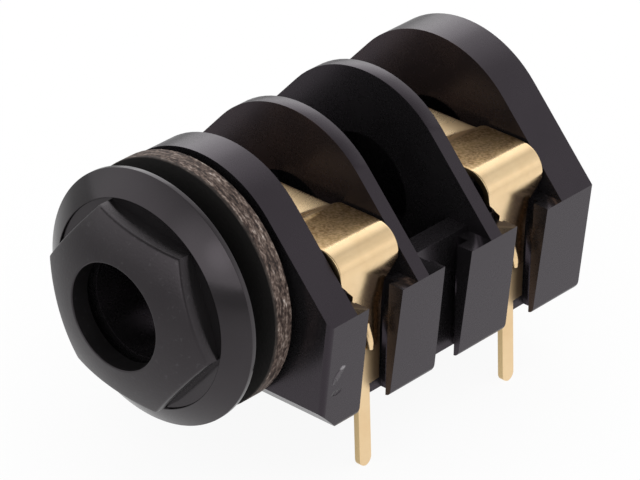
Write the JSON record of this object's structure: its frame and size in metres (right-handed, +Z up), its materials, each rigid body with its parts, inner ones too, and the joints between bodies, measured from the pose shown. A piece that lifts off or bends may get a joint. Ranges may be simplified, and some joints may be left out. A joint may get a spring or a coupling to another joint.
{
  "type": "mono jack socket",
  "caption": "Board-mounted mono jack socket: ribbed black housing with open compartments, threaded bush, flanged nut, fibre washer and folded gilt spring contacts for a quarter inch plug.",
  "frame": {"origin": "on the plug axis, on the front face of the housing", "axes": "+X is across, towards the side with the board pins; +Y runs along the plug axis from the nut to the rear wall; +Z is up, away from the board"},
  "size_m": [0.0196, 0.0297, 0.0191],
  "materials": {
    "housing": "satin black moulding",
    "nut": "fine matte black moulding",
    "fibre": "brown vulcanised fibre with a rough cut edge",
    "contacts": "bright gilt plating"
  },
  "bodies": {
    "root": {"housing": "housing", "flange_nut": "nut", "fibre_washer": "fibre", "sleeve_contact": "contacts", "tip_contact": "contacts"}
  },
  "joints": []
}
